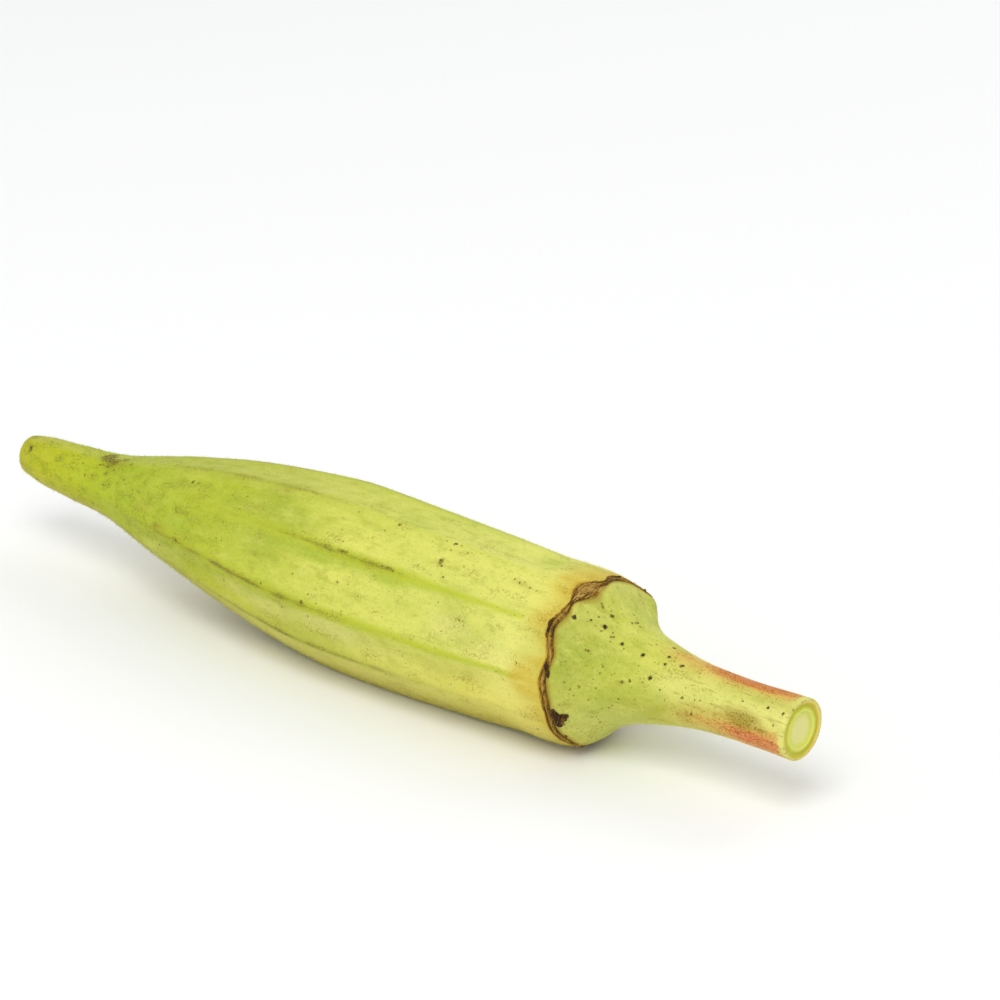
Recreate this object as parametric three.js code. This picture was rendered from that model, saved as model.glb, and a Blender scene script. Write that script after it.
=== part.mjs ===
// An okra pod as picked, lying on its side. It grew as one body: the ridged pod with its
// pointed neck, the ring-shaped scar where the sepals fell off, the smooth cap behind the
// scar, and the stem, cut off straight. Millimetres, +Z up. The pod lies along X with its
// tip at -X and the cut end at +X, and rests on a small flat spot under its belly.
import * as THREE from 'three';

// Driving dimensions
const LENGTH = 134.8;
const BELLY_RADIUS = 12.4;
const SCAR_RADIUS = 11;
const STEM_RADIUS = 3.85;
const TIP_RADIUS = 2.75;
const TIP_ROUNDING = 1.1;
const SCAR_FROM_TIP = 102.6;

// Ridges: where each one runs round the pod, in degrees from +Y towards +Z, and how far it
// draws the scar towards the tip
const RIDGES = [
  { angle: 0, scarDip: -0.2 },
  { angle: 36, scarDip: -1.1 },
  { angle: 70, scarDip: 0.3 },
  { angle: 105, scarDip: 1.1 },
  { angle: 138, scarDip: 1.35 },
  { angle: 176, scarDip: 0.35 },
  { angle: 203, scarDip: -0.2 },
  { angle: 247, scarDip: -0.4 },
  { angle: 287, scarDip: 0.7 },
  { angle: 323, scarDip: 1.1 },
];
const RIDGE_RIB = 0.25;
const FACE_HOLLOW = 0.042;
const FACE_CURVE = 2.2;
const FACE_STEPS = [0, 0.09, 0.29, 0.5, 0.71, 0.91];

// Where the ridges rise, as distances from the tip: faintly along the neck, then fully on the
// body. Past the last one they sink away towards the scar.
const NECK_RIDGES_START = 6;
const NECK_RIDGES_FULL = 14;
const NECK_RIDGE_SHARE = 0.35;
const BODY_RIDGES_START = 12;
const BODY_RIDGES_FULL = 32;
const RIDGES_FADE = 90;

// Scar ring: a narrow groove behind a slight lip. Its waves reach this far along the pod.
const SCAR_LIP = 0.1;
const SCAR_GROOVE_DEPTH = 0.4;
const SCAR_GROOVE_WIDTH = 1.1;
const SCAR_DIP_REACH = 5;

// Cut end of the stem: a low rim, a hollow in the green bark, a raised wood ring, the pith
const STEM_FLARE = 0.2;
const CUT_RIM_BEVEL = 0.25;
const CUT_RIM_OUTER = STEM_RADIUS - 0.1;
const CUT_RIM_INNER = STEM_RADIUS - 0.4;
const BARK_HOLLOW = 0.2;
const PITH_HOLLOW = 0.3;
const WOOD_RING_RADIUS = 2.7;
const PITH_RADIUS = 2;

// Outline from the rounded tip to the scar: distance from the tip, radius over the ridges
const POD_OUTLINE = [
  [TIP_ROUNDING, TIP_RADIUS],
  [4.5, 3.3],
  [10.5, 3.8],
  [18.5, 4.55],
  [30.5, 7.55],
  [44.5, 10.4],
  [58.5, 12.3],
  [71.5, BELLY_RADIUS],
  [84.5, 12],
  [93.5, 11.5],
  [98, 11.55],
  [100.8, 11.4],
];

// Outline from the scar over the cap and along the stem to the cut
const CAP_OUTLINE = [
  [103.3, 10.7],
  [104.6, 9.65],
  [106.2, 8.1],
  [107.8, 7],
  [109.8, 6.15],
  [112.4, 5.4],
  [115.9, 4.65],
  [120, 4.1],
  [125.4, STEM_RADIUS],
  [130.4, STEM_RADIUS + STEM_FLARE / 4],
  [LENGTH - CUT_RIM_BEVEL, STEM_RADIUS + STEM_FLARE],
];

// Height of the middle of the pod above what it lies on, from tip to cut: it droops to the
// belly, and the neck and the stem stay clear of the surface. The belly would reach below the
// surface, so it is flat there: that is the spot that the pod rests on.
const MIDDLE_HEIGHTS = [
  [0, 12.9],
  [18.5, 12.42],
  [38.5, 12.1],
  [58.5, 11.4],
  [76.5, 11.1],
  [95.5, 11.25],
  [115.5, 11.45],
  [LENGTH, 11.75],
];
const HEIGHT_SAMPLES = 140;

const TIP_STEPS = 5;
const POD_STEPS = 26;
const CAP_STEPS = 20;

const smooth = THREE.MathUtils.smoothstep;

function curveThrough(points) {
  return new THREE.SplineCurve(points.map(([along, value]) => new THREE.Vector2(along, value)));
}

// Lathe profile, with x the radius and y the distance from the tip. It starts and ends on
// the axis.
function outline() {
  const points = [];
  for (let step = 0; step < TIP_STEPS; step += 1) {
    const turn = (step / TIP_STEPS) * (Math.PI / 2);
    points.push([TIP_ROUNDING * (1 - Math.cos(turn)), TIP_RADIUS * Math.sin(turn)]);
  }
  for (const point of curveThrough(POD_OUTLINE).getPoints(POD_STEPS)) {
    points.push([point.x, point.y]);
  }
  points.push([SCAR_FROM_TIP - SCAR_GROOVE_WIDTH / 2, SCAR_RADIUS + SCAR_LIP]);
  points.push([SCAR_FROM_TIP, SCAR_RADIUS - SCAR_GROOVE_DEPTH]);
  for (const point of curveThrough(CAP_OUTLINE).getPoints(CAP_STEPS)) {
    points.push([point.x, point.y]);
  }
  points.push([LENGTH, CUT_RIM_OUTER]);
  points.push([LENGTH, CUT_RIM_INNER]);
  points.push([LENGTH - BARK_HOLLOW, (STEM_RADIUS + WOOD_RING_RADIUS) / 2]);
  points.push([LENGTH, WOOD_RING_RADIUS]);
  points.push([LENGTH - PITH_HOLLOW, PITH_RADIUS]);
  points.push([LENGTH - PITH_HOLLOW, 0]);
  return points.map(([along, radius]) => new THREE.Vector2(radius, along));
}

// Columns of the surface round the pod: every ridge, and the face between it and the next
function columns() {
  const list = [];
  RIDGES.forEach((ridge, index) => {
    const next = RIDGES[(index + 1) % RIDGES.length];
    const width = (next.angle - ridge.angle + 360) % 360;
    for (const across of FACE_STEPS) {
      const dip = ridge.scarDip * smooth(1 - 2 * across, 0, 1);
      const nextDip = next.scarDip * smooth(2 * across - 1, 0, 1);
      list.push({
        angle: THREE.MathUtils.degToRad(ridge.angle + width * across),
        hollow: 1 - Math.abs(2 * across - 1) ** FACE_CURVE,
        rib: across === 0 ? RIDGE_RIB : 0,
        scarDip: dip + nextDip,
      });
    }
  });
  return list;
}

// How strongly the ridges stand out at a distance from the tip: none at the tip or the scar
function ridgeStrength(along) {
  const neck = smooth(along, NECK_RIDGES_START, NECK_RIDGES_FULL);
  const body = smooth(along, BODY_RIDGES_START, BODY_RIDGES_FULL);
  const rise = NECK_RIDGE_SHARE * neck + (1 - NECK_RIDGE_SHARE) * body;
  return rise * (1 - smooth(along, RIDGES_FADE, SCAR_FROM_TIP + SCAR_GROOVE_WIDTH));
}

function heightCurve() {
  const curve = curveThrough(MIDDLE_HEIGHTS);
  const samples = curve.getPoints(HEIGHT_SAMPLES);
  return (along) => {
    const after = samples.find((sample) => sample.x > along) ?? samples.at(-1);
    const before = samples[samples.indexOf(after) - 1];
    return THREE.MathUtils.mapLinear(along, before.x, after.x, before.y, after.y);
  };
}

function podGeometry() {
  const profile = outline();
  const around = columns();
  const middleHeight = heightCurve();
  const geometry = new THREE.LatheGeometry(profile, around.length);
  const position = geometry.attributes.position;
  for (let index = 0; index < position.count; index += 1) {
    const column = around[Math.floor(index / profile.length) % around.length];
    const { x: outlineRadius, y: along } = profile[index % profile.length];
    const strength = ridgeStrength(along);
    const face = outlineRadius * (1 - FACE_HOLLOW * strength * column.hollow);
    const radius = face + column.rib * strength;
    const nearScar = Math.exp(-(((along - SCAR_FROM_TIP) / SCAR_DIP_REACH) ** 2));
    const x = along - column.scarDip * nearScar;
    const y = radius * Math.cos(column.angle);
    const z = middleHeight(along) + radius * Math.sin(column.angle);
    position.setXYZ(index, x, y, Math.max(z, 0));
  }
  geometry.computeBoundingBox();
  const centre = geometry.boundingBox.getCenter(new THREE.Vector3());
  geometry.translate(-centre.x, -centre.y, 0);
  geometry.computeVertexNormals();
  return geometry;
}

const skin = new THREE.MeshStandardMaterial({ color: '#cdd062', roughness: 0.55, metalness: 0 });

const pod = new THREE.Mesh(podGeometry(), skin);
pod.name = 'okra_pod';

const okra = new THREE.Group();
okra.add(pod);

export default okra;
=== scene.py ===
import math

import bpy
import numpy as np
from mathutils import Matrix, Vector, noise


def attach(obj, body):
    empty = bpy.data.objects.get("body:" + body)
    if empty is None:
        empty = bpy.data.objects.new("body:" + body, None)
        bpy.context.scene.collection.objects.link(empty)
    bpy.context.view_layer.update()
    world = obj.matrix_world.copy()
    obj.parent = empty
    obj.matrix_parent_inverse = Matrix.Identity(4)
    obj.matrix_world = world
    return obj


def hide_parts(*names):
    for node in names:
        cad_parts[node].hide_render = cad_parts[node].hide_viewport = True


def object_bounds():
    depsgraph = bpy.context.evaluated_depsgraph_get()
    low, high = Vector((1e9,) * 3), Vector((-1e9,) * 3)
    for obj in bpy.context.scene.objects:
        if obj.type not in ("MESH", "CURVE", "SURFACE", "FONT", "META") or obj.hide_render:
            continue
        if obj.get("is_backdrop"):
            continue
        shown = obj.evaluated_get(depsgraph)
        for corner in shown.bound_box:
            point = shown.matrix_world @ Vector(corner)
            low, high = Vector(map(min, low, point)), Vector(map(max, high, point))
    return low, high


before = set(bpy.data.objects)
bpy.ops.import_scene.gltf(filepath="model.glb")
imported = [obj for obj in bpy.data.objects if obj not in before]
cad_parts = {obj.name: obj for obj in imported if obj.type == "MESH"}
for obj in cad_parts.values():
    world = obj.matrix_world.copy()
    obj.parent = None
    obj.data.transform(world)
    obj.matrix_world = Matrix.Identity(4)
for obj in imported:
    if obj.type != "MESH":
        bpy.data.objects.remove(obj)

cad_low, cad_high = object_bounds()

# An okra pod lying on its side. It is modelled in millimetres and scaled to metres as each
# point is placed. X runs along the pod from the tip, and angles run round it in degrees from
# +Y towards +Z.
MM = 0.001

# Driving dimensions, the same as the solid's, in mm as all below
LENGTH = 134.8
SCAR_FROM_TIP = 102.6
SCAR_RADIUS = 11
STEM_RADIUS = 3.85
STEM_FLARE = 0.2
TIP_RADIUS = 2.75
TIP_ROUNDING = 1.1
CUT_RIM_BEVEL = 0.25
CUT_RIM_RADIUS = STEM_RADIUS - 0.1
RIDGE_RIB = 0.25
FACE_HOLLOW = 0.042
FACE_CURVE = 2.2
SCAR_DIP_REACH = 5

# How softly the finer skin's ridges are rounded, and the height and width of their ribs, the
# height as a share of the solid's
CREST_SOFTNESS, RIB_SHARE, RIB_WIDTH = 0.8, 0.5, 1.1

# Where the ridges rise on the neck and on the body, and where they sink away at the scar
NECK_RIDGES = (6, 14)
NECK_RIDGE_SHARE = 0.35
BODY_RIDGES = (12, 32)
RIDGES_FADE = (90, 103.7)

# Each ridge: its angle, and how far it draws the scar towards the tip
RIDGES = (
    (0, -0.2), (36, -1.1), (70, 0.3), (105, 1.1), (138, 1.35),
    (176, 0.35), (203, -0.2), (247, -0.4), (287, 0.7), (323, 1.1),
)

# Distance from the tip and radius over the ridges, from the rounded tip to where the cap's
# curve takes over, and from there to the cut
CAP_START = (100.8, 11.4)
OUTLINE = (
    (TIP_ROUNDING, TIP_RADIUS), (4.5, 3.3), (10.5, 3.8), (18.5, 4.55), (30.5, 7.55),
    (44.5, 10.4), (58.5, 12.3), (71.5, 12.4), (84.5, 12), (93.5, 11.5), (98, 11.55), CAP_START,
)
CAP_OUTLINE = (
    CAP_START, (102.1, 11.05), (103.3, 10.6), (104.6, 9.65), (106.2, 8.1), (107.8, 7),
    (109.8, 6.15), (112.4, 5.4), (115.9, 4.65), (120, 4.1), (125.4, STEM_RADIUS),
    (130.4, STEM_RADIUS + STEM_FLARE / 4), (LENGTH - CUT_RIM_BEVEL, STEM_RADIUS + STEM_FLARE),
)
MIDDLE_HEIGHTS = (
    (0, 12.9), (18.5, 12.42), (38.5, 12.1), (58.5, 11.4), (76.5, 11.1), (95.5, 11.25),
    (115.5, 11.45), (LENGTH, 11.75),
)
# The sawn end from its rim to the middle: radius, and depth below the rim
CUT_FACE = (
    (CUT_RIM_RADIUS, 0), (3.6, 0), (3.45, 0.02), (3.2, 0.16), (3, 0.15), (2.8, 0.04), (2.6, 0),
    (2.4, 0.06), (2.15, 0.22), (1.9, 0.3), (1.4, 0.27), (0.8, 0.25), (0.3, 0.25), (0, 0.25),
)

# Rings of the skin: where each stretch of them starts and ends, and their number or spacing
TIP_RINGS, RIM_RINGS, CUT_RINGS = 12, 5, 26
BODY_RINGS = (TIP_ROUNDING, 98.6, 230)
SCAR_RINGS = (98.72, 105.9, 0.115)
STEM_RINGS = (106.05, LENGTH - CUT_RIM_BEVEL, 70)
COLUMNS_PER_FACE = 23
COLUMNS = COLUMNS_PER_FACE * len(RIDGES)

# Natural unevenness of the skin: depth, size along and across the pod, and place in the noise
SWELLS = ((0.1, 13, 8, 3.3), (0.05, 5.5, 3.2, 8.8), (0.018, 9, 0.9, 5.2))
# Lips and grooves across the scar: height, and place and width as shares of the scar's width
SCAR_RELIEF = ((0.08, -1, 0.45), (-0.2, -0.45, 0.2), (0.1, 0.02, 0.3), (-0.24, 0.5, 0.22))

# What varies round the scar: a level, waves of noise as (scale, place in the noise, strength),
# and changes at given angles as (angle, reach, strength). First its width, as a share of the
# usual one, then how far it strays from its even course in mm, then how dark it has dried.
SCAR_WIDTH = (
    0.56, ((2.3, 4.7, 0.1), (7, 9.1, 0.1)),
    ((102, 9, 0.9), (117, 5, -0.34), (84, 6, -0.2), (38, 16, 0.15), (300, 20, 0.3)),
)
SCAR_SHIFT = (
    0, ((4, 31.5, 0.1), (11, 17.3, 0.05)),
    (
        (127, 7, 0.2), (120, 7, 0.42), (106, 7, -0.7), (99, 5, -0.25), (85, 6, -0.4),
        (141, 7, -0.25), (156, 8, -0.25), (190, 12, -0.1), (236, 10, -0.8), (38, 16, -0.5),
    ),
)
SCAR_DARKNESS = (
    0.3, ((3, 41.3, 0.35), (12, 23.9, 0.35)),
    (
        (76, 13, 0.5), (117, 4, 0.6), (138, 4, 0.6), (166, 6, 0.2), (196, 7, 0.4), (225, 12, 0.3),
        (104, 8, -0.4), (127, 5, -0.5), (150, 6, -0.2), (181, 6, -0.35),
    ),
)


def curve_through(points, samples=900):
    """Many points of the smooth curve that passes through these."""
    knots = np.array(points, float)
    last = len(knots) - 1
    places = np.linspace(0, last, samples)
    at = np.minimum(places.astype(int), last - 1)
    part = (places - at)[:, None]
    before, start = knots[np.maximum(at - 1, 0)], knots[at]
    end, after = knots[at + 1], knots[np.minimum(at + 2, last)]
    leave, arrive = (end - before) / 2, (after - start) / 2
    return (
        (2 * start - 2 * end + leave + arrive) * part**3
        + (3 * end - 3 * start - 2 * leave - arrive) * part**2
        + leave * part
        + start
    )


pod_curve = curve_through(OUTLINE)
cap_curve = curve_through(CAP_OUTLINE)
height_curve = curve_through(MIDDLE_HEIGHTS)


def smooth(value, start, end):
    part = np.clip((value - start) / (end - start), 0, 1)
    return part * part * (3 - 2 * part)


def hump(value, middle, width):
    return np.exp(-(((value - middle) / width) ** 2))


def wander(x, y, z, seed=0.0):
    """Smooth noise between about -1 and 1 at each place, one feature per unit."""
    return np.array([noise.noise(Vector((a, b, c + seed))) for a, b, c in zip(x, y, z)])


def round_scar(angle, level, waves, changes):
    """A value that varies round the scar."""
    value = level
    for size, seed, strength in waves:
        wave = wander(size * np.cos(angle), size * np.sin(angle), 0 * angle, seed)
        value = value + strength * wave
    turn = np.degrees(angle) % 360
    return value + sum(strength * hump(turn, middle, reach) for middle, reach, strength in changes)


def ridge_strength(along):
    rise = NECK_RIDGE_SHARE * smooth(along, *NECK_RIDGES)
    rise += (1 - NECK_RIDGE_SHARE) * smooth(along, *BODY_RIDGES)
    return rise * (1 - smooth(along, *RIDGES_FADE))


def middle_height(along):
    return np.interp(along, height_curve[:, 0], height_curve[:, 1])


def profile_rows():
    """Rings of the skin from the tip to the middle of the cut: distance from tip, radius."""
    rows = []
    for turn in np.linspace(0, math.pi / 2, TIP_RINGS + 1)[:-1]:
        rows.append((TIP_ROUNDING * (1 - math.cos(turn)), TIP_RADIUS * math.sin(turn)))
    for along in (*np.linspace(*BODY_RINGS), *np.arange(*SCAR_RINGS), *np.linspace(*STEM_RINGS)):
        curve = pod_curve if along < CAP_START[0] else cap_curve
        rows.append((along, np.interp(along, curve[:, 0], curve[:, 1])))
    rim = STEM_RADIUS + STEM_FLARE - CUT_RIM_RADIUS
    for turn in np.linspace(0, math.pi / 2, RIM_RINGS + 1)[1:]:
        rows.append((
            LENGTH - CUT_RIM_BEVEL * (1 - math.sin(turn)), CUT_RIM_RADIUS + rim * math.cos(turn),
        ))
    for radius, depth in curve_through(CUT_FACE, CUT_RINGS + 1)[1:]:
        rows.append((LENGTH - depth, max(radius, 0)))
    return np.array(rows, float)


def column_shape():
    """For each column round the pod: its angle, place across its face, face width, dips."""
    angles, across, widths, dips = [], [], [], []
    for index, (angle, dip) in enumerate(RIDGES):
        next_angle, next_dip = RIDGES[(index + 1) % len(RIDGES)]
        width = (next_angle - angle) % 360
        for step in range(COLUMNS_PER_FACE):
            part = step / COLUMNS_PER_FACE
            part -= 0.3 * math.sin(2 * math.pi * part) / (2 * math.pi)
            angles.append(math.radians(angle + width * part))
            across.append(part)
            widths.append(math.radians(width))
            dips.append(dip * smooth(1 - 2 * part, 0, 1) + next_dip * smooth(2 * part - 1, 0, 1))
    return np.array(angles), np.array(across), np.array(widths), np.array(dips)


def nothing_selected():
    if bpy.context.object and bpy.context.object.mode != "OBJECT":
        bpy.ops.object.mode_set(mode="OBJECT")
    bpy.ops.object.select_all(action="DESELECT")


def store(mesh, name, values):
    mesh.attributes.new(name, "FLOAT", "POINT").data.foreach_set(
        "value", np.asarray(values, np.float32)
    )


def mesh_object(name, corners, faces):
    """A new object at the origin, with its corners given in millimetres."""
    mesh = bpy.data.meshes.new(name)
    mesh.from_pydata([corner * MM for corner in corners], [], faces)
    made = bpy.data.objects.new(name, mesh)
    bpy.context.scene.collection.objects.link(made)
    return made


def colour(hexed):
    """The linear colour of an sRGB hex value."""
    parts = [int(hexed[i : i + 2], 16) / 255 for i in (1, 3, 5)]
    return (*[p / 12.92 if p <= 0.04045 else ((p + 0.055) / 1.055) ** 2.4 for p in parts], 1)


def add(tree, kind, inputs=(), **settings):
    """Adds a node with its settings, and its inputs in order or by name.

    An input is a value, a socket, or a node, which stands for its first output.
    """
    made = tree.nodes.new("ShaderNode" + kind)
    for name, value in settings.items():
        setattr(made, name, value)
    for name, value in inputs.items() if isinstance(inputs, dict) else enumerate(inputs):
        if isinstance(value, bpy.types.Node):
            value = value.outputs[0]
        if isinstance(value, bpy.types.NodeSocket):
            tree.links.new(value, made.inputs[name])
        else:
            made.inputs[name].default_value = value
    return made


def start_material(name, constants):
    """A material, its tree and its shader, with what is the same all over set on the shader."""
    material = bpy.data.materials.new(name)
    material.use_nodes = True
    shader = material.node_tree.nodes["Principled BSDF"]
    for socket, value in constants.items():
        shader.inputs[socket].default_value = value
    return material, material.node_tree, shader


def place_in_mm(tree):
    """The place on the piece in millimetres."""
    place = add(tree, "TexCoord").outputs["Object"]
    return add(tree, "Mapping", {"Vector": place, "Scale": (1 / MM,) * 3})


def set_stops(ramp, stops):
    """Gives a colour ramp its stops: place, colour, and how much it covers unless that is all."""
    elements = ramp.color_ramp.elements
    while len(elements) < len(stops):
        elements.new(0.5)
    for element, (spot, hexed, *cover) in zip(elements, stops):
        element.position = spot
        element.color = (*colour(hexed)[:3], *(cover or (1,)))


# ---------------------------------------------------------------- camera
# Looks down on the pod's side from beyond its cut end
CAMERA_TARGET = Vector((18.9, 0, 29.15)) * MM
CAMERA_DISTANCE = 600 * MM
CAMERA_AZIMUTH, CAMERA_ELEVATION = math.radians(40), math.radians(23)
LENS, SENSOR, FRAME_SIDE = 169.66, 36, 1000

camera_back = Vector((
    math.sin(CAMERA_AZIMUTH) * math.cos(CAMERA_ELEVATION),
    -math.cos(CAMERA_AZIMUTH) * math.cos(CAMERA_ELEVATION),
    math.sin(CAMERA_ELEVATION),
))
camera_place = CAMERA_TARGET + camera_back * CAMERA_DISTANCE
nothing_selected()
bpy.ops.object.camera_add(location=camera_place)
camera = bpy.context.object
camera.name = "camera"
camera.rotation_mode = "QUATERNION"
camera.rotation_quaternion = (-camera_back).to_track_quat("-Z", "Y")
camera.data.lens = LENS
camera.data.sensor_width = SENSOR
camera.data.clip_start, camera.data.clip_end = 0.01, 20
bpy.context.scene.camera = camera


# ---------------------------------------------------------------- pod skin
def spun_pod():
    """The pod's outline, drawn point by point and spun round its axis: a smooth round body."""
    rows = profile_rows()
    nothing_selected()
    bpy.ops.mesh.primitive_plane_add(size=MM, location=(0, 0, 0))
    pod = bpy.context.object
    bpy.ops.object.mode_set(mode="EDIT")
    bpy.ops.mesh.merge(type="CENTER")
    last = np.zeros(2)
    for row in rows[1:]:
        step = (row - last) * MM
        bpy.ops.mesh.extrude_region_move(
            TRANSFORM_OT_translate={"value": (step[0], step[1], 0)}
        )
        last = row
    bpy.ops.mesh.select_all(action="SELECT")
    bpy.ops.mesh.spin(
        steps=COLUMNS, dupli=False, angle=2 * math.pi, center=(0, 0, 0), axis=(1, 0, 0)
    )
    bpy.ops.mesh.select_all(action="SELECT")
    bpy.ops.mesh.remove_doubles(threshold=1e-7)
    bpy.ops.mesh.normals_make_consistent(inside=False)
    bpy.ops.object.mode_set(mode="OBJECT")
    return pod, rows


def corner_places(mesh):
    """The mesh's corners, in millimetres."""
    places = np.empty(len(mesh.vertices) * 3)
    mesh.vertices.foreach_get("co", places)
    return places.reshape(-1, 3) / MM


def skin_relief(along, angle, outline, scar):
    """How far the skin swells or dips: its natural unevenness, and the relief of the scar."""
    y, z = np.cos(angle) * outline, np.sin(angle) * outline
    relief = sum(
        depth * wander(along / long, y / wide, z / wide, seed) for depth, long, wide, seed in SWELLS
    )
    # Even at the tip and the cut, and calmer beside the scar
    beside_scar = smooth(along, 100, 102) * (1 - smooth(along, 104, 108))
    relief *= smooth(along, 0.5, 6) * (1 - smooth(along, LENGTH - 3, LENGTH - 0.3))
    relief *= 1 - 0.65 * beside_scar
    from_scar = along - SCAR_FROM_TIP
    mend = 0.75 + 0.35 * wander(9 * np.cos(angle), 9 * np.sin(angle), from_scar / 2, 2.2)
    relief += mend * sum(height * hump(scar, place, wide) for height, place, wide in SCAR_RELIEF)
    torn = wander(along / 0.22, y / 0.6, z / 0.6, 15.1) + 0.6 * wander(along, y, z, 6.6)
    return relief + 0.04 * torn * hump(scar, 0, 0.6)


def shape_pod(pod, rows):
    """Draws the ridges, the scar and the natural unevenness on the spun body."""
    places = corner_places(pod.data)
    round_radius = np.hypot(places[:, 1], places[:, 2])
    column = np.rint(np.arctan2(places[:, 2], places[:, 1]) / (2 * math.pi) * COLUMNS)
    column = column.astype(int) % COLUMNS
    gaps = (places[:, 0][:, None] - rows[None, :, 0]) ** 2
    gaps += (round_radius[:, None] - rows[None, :, 1]) ** 2
    row = gaps.argmin(axis=1)
    along, outline = rows[row, 0], rows[row, 1]
    on_cut = row >= len(rows) - CUT_RINGS
    angle, part, face_width, dip = [values[column] for values in column_shape()]

    # Nearly flat faces between ridges that are softly rounded and stand up as low ribs
    strength = ridge_strength(along)
    crest_gap = np.minimum(part, 1 - part) * face_width * outline
    soft_gap = np.sqrt(crest_gap**2 + CREST_SOFTNESS**2) - CREST_SOFTNESS
    soft_part = 1 - 2 * soft_gap / np.maximum(face_width * outline, 1e-6)
    hollow = 1 - np.abs(soft_part) ** FACE_CURVE
    face_radius = outline * (1 - FACE_HOLLOW * strength * hollow)
    radius = face_radius + RIB_SHARE * RIDGE_RIB * strength * hump(crest_gap, 0, RIB_WIDTH)

    from_scar = along - SCAR_FROM_TIP
    scar = from_scar / round_scar(angle, *SCAR_WIDTH)
    radius = np.maximum(radius + skin_relief(along, angle, outline, scar) * ~on_cut, 0)

    x = along - dip * hump(from_scar, 0, SCAR_DIP_REACH)
    x -= round_scar(angle, *SCAR_SHIFT) * hump(from_scar, 0, 2)
    # The saw went through a little unevenly
    across_y, across_z = np.cos(angle) * outline, np.sin(angle) * outline
    saw = 0.035 * wander(across_y * 1.4, across_z * 1.4, 0 * x, 12.5) + 0.0048 * across_y
    x += saw * smooth(along, LENGTH - 0.6, LENGTH - 0.3) - 0.05 * on_cut
    # The tip ends bluntly, on a slant
    slant = 0.6 - 0.2 * radius * np.sin(angle) / TIP_RADIUS
    x += slant * (1 - smooth(along, 0.6, 6))
    x = np.clip(x - LENGTH / 2, cad_low.x / MM, cad_high.x / MM)
    # As far to the side as the solid, which is centred by its box
    solid_y = (face_radius + RIDGE_RIB * strength) * np.cos(angle)
    y = radius * np.cos(angle) - (solid_y.max() + solid_y.min()) / 2
    z = np.maximum(middle_height(along) + radius * np.sin(angle), 0)
    placed = np.stack([x, y, z], axis=1) * MM
    pod.data.vertices.foreach_set("co", placed.astype(np.float32).ravel())
    pod.data.update()
    return along, angle, outline, crest_gap, scar, on_cut, row, column


# Each ridge's line of veins: ridge angle, then distance from tip, strength of the thin dark
# line, and strength of the broad green-yellow band that takes over from it
RIDGE_LINES = {
    0: ((20, 0, 0), (36, 0.5, 0.2), (60, 0.9, 0.5), (84, 0.4, 0.8), (98, 0.1, 0.4)),
    36: ((16, 0.1, 0), (30, 0.6, 0.1), (52, 0.8, 0.5), (76, 0.4, 0.9), (98, 0.1, 0.4)),
    70: ((20, 0.3, 0), (32, 0.8, 0.2), (60, 0.6, 0.5), (80, 0.3, 0.6), (98, 0.1, 0.3)),
    105: ((24, 0, 0), (34, 0.4, 0.2), (56, 0.5, 0.2), (68, 0.1, 0.3), (98, 0.05, 0.3)),
    138: (
        (24, 0, 0), (36, 0.2, 0.4), (50, 0.3, 0.7), (60, 0.45, 0.8), (66, 0.6, 0.8), (74, 0.65, 0.9),
        (79, 0.2, 0.9), (98, 0.1, 0.7),
    ),
    176: (
        (18, 0, 0.2), (26, 0.25, 0.5), (36, 0.6, 0.7), (50, 0.8, 0.8), (62, 0.8, 0.9),
        (68, 0.3, 1), (80, 0.1, 1), (99, 0.1, 0.8),
    ),
    203: ((36, 0, 0), (50, 0.5, 0.1), (56, 0.8, 0.2), (66, 0.7, 0.2), (84, 0.2, 0.2), (98, 0.05, 0.1)),
    247: ((24, 0.1, 0), (40, 0.7, 0.2), (64, 0.6, 0.5), (90, 0.2, 0.6), (98, 0.1, 0.3)),
    287: ((24, 0.1, 0), (44, 0.8, 0.2), (70, 0.7, 0.5), (92, 0.3, 0.8), (98, 0.1, 0.4)),
    323: ((20, 0.1, 0), (34, 0.6, 0.2), (50, 0.9, 0.4), (76, 0.6, 0.8), (98, 0.2, 0.4)),
}
# Ochre skin beside the scar: angle, size in mm, strength
OCHRE = (
    (176, 2.8, 1.2), (140, 2, 0.25), (126, 3, 0.35), (101, 2.6, 0.7), (203, 2, 0.3), (82, 3.5, 0.5),
    (36, 3, 0.6), (0, 3, 0.6), (323, 3.4, 0.7), (287, 2.6, 0.4), (247, 3, 0.5),
)
# The stem's red blush and its tan. Each patch: its side of the stem as angle, reach and
# strength, then how it grows along the stem as start, full and share.
BLUSH_BELOW = ((111, 120, 0.1), (118, 125, 0.25), (123.5, 129.5, 0.65))
BLUSH = (
    (78, 22, 1.15, ((112, 118, 0.3), (118.5, 124, 0.7), (128, 133, -0.4))),
    (196, 20, 0.9, BLUSH_BELOW),
    (225, 22, 0.5, BLUSH_BELOW),
    (335, 30, 0.45, ((114, 122, 1),)),
)
TAN = (
    (86, 27, 1, ((110, 119, 1),)),
    (197, 30, 1, ((106, 112, 0.2), (114, 125, 0.8))),
    (290, 40, 0.5, ((112, 124, 1),)),
)

pod, rows = spun_pod()
pod.name = pod.data.name = "pod_skin"
mesh = pod.data
along, angle, outline, crest_gap, scar, on_cut, row, column = shape_pod(pod, rows)
turn = np.degrees(angle) % 360


def gap_to(middle):
    """How far the skin is from an angle, in mm round the pod."""
    return np.abs((turn - middle + 180) % 360 - 180) * math.pi / 180 * outline


def patches(table):
    """Patches of colour on the stem."""
    on_stem = smooth(along, 105, 111) * (1 - smooth(along, 133.3, 134.5))
    return on_stem * sum(
        strength * hump(turn, middle, reach)
        * sum(share * smooth(along, start, full) for start, full, share in growth)
        for middle, reach, strength, growth in table
    )


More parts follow.
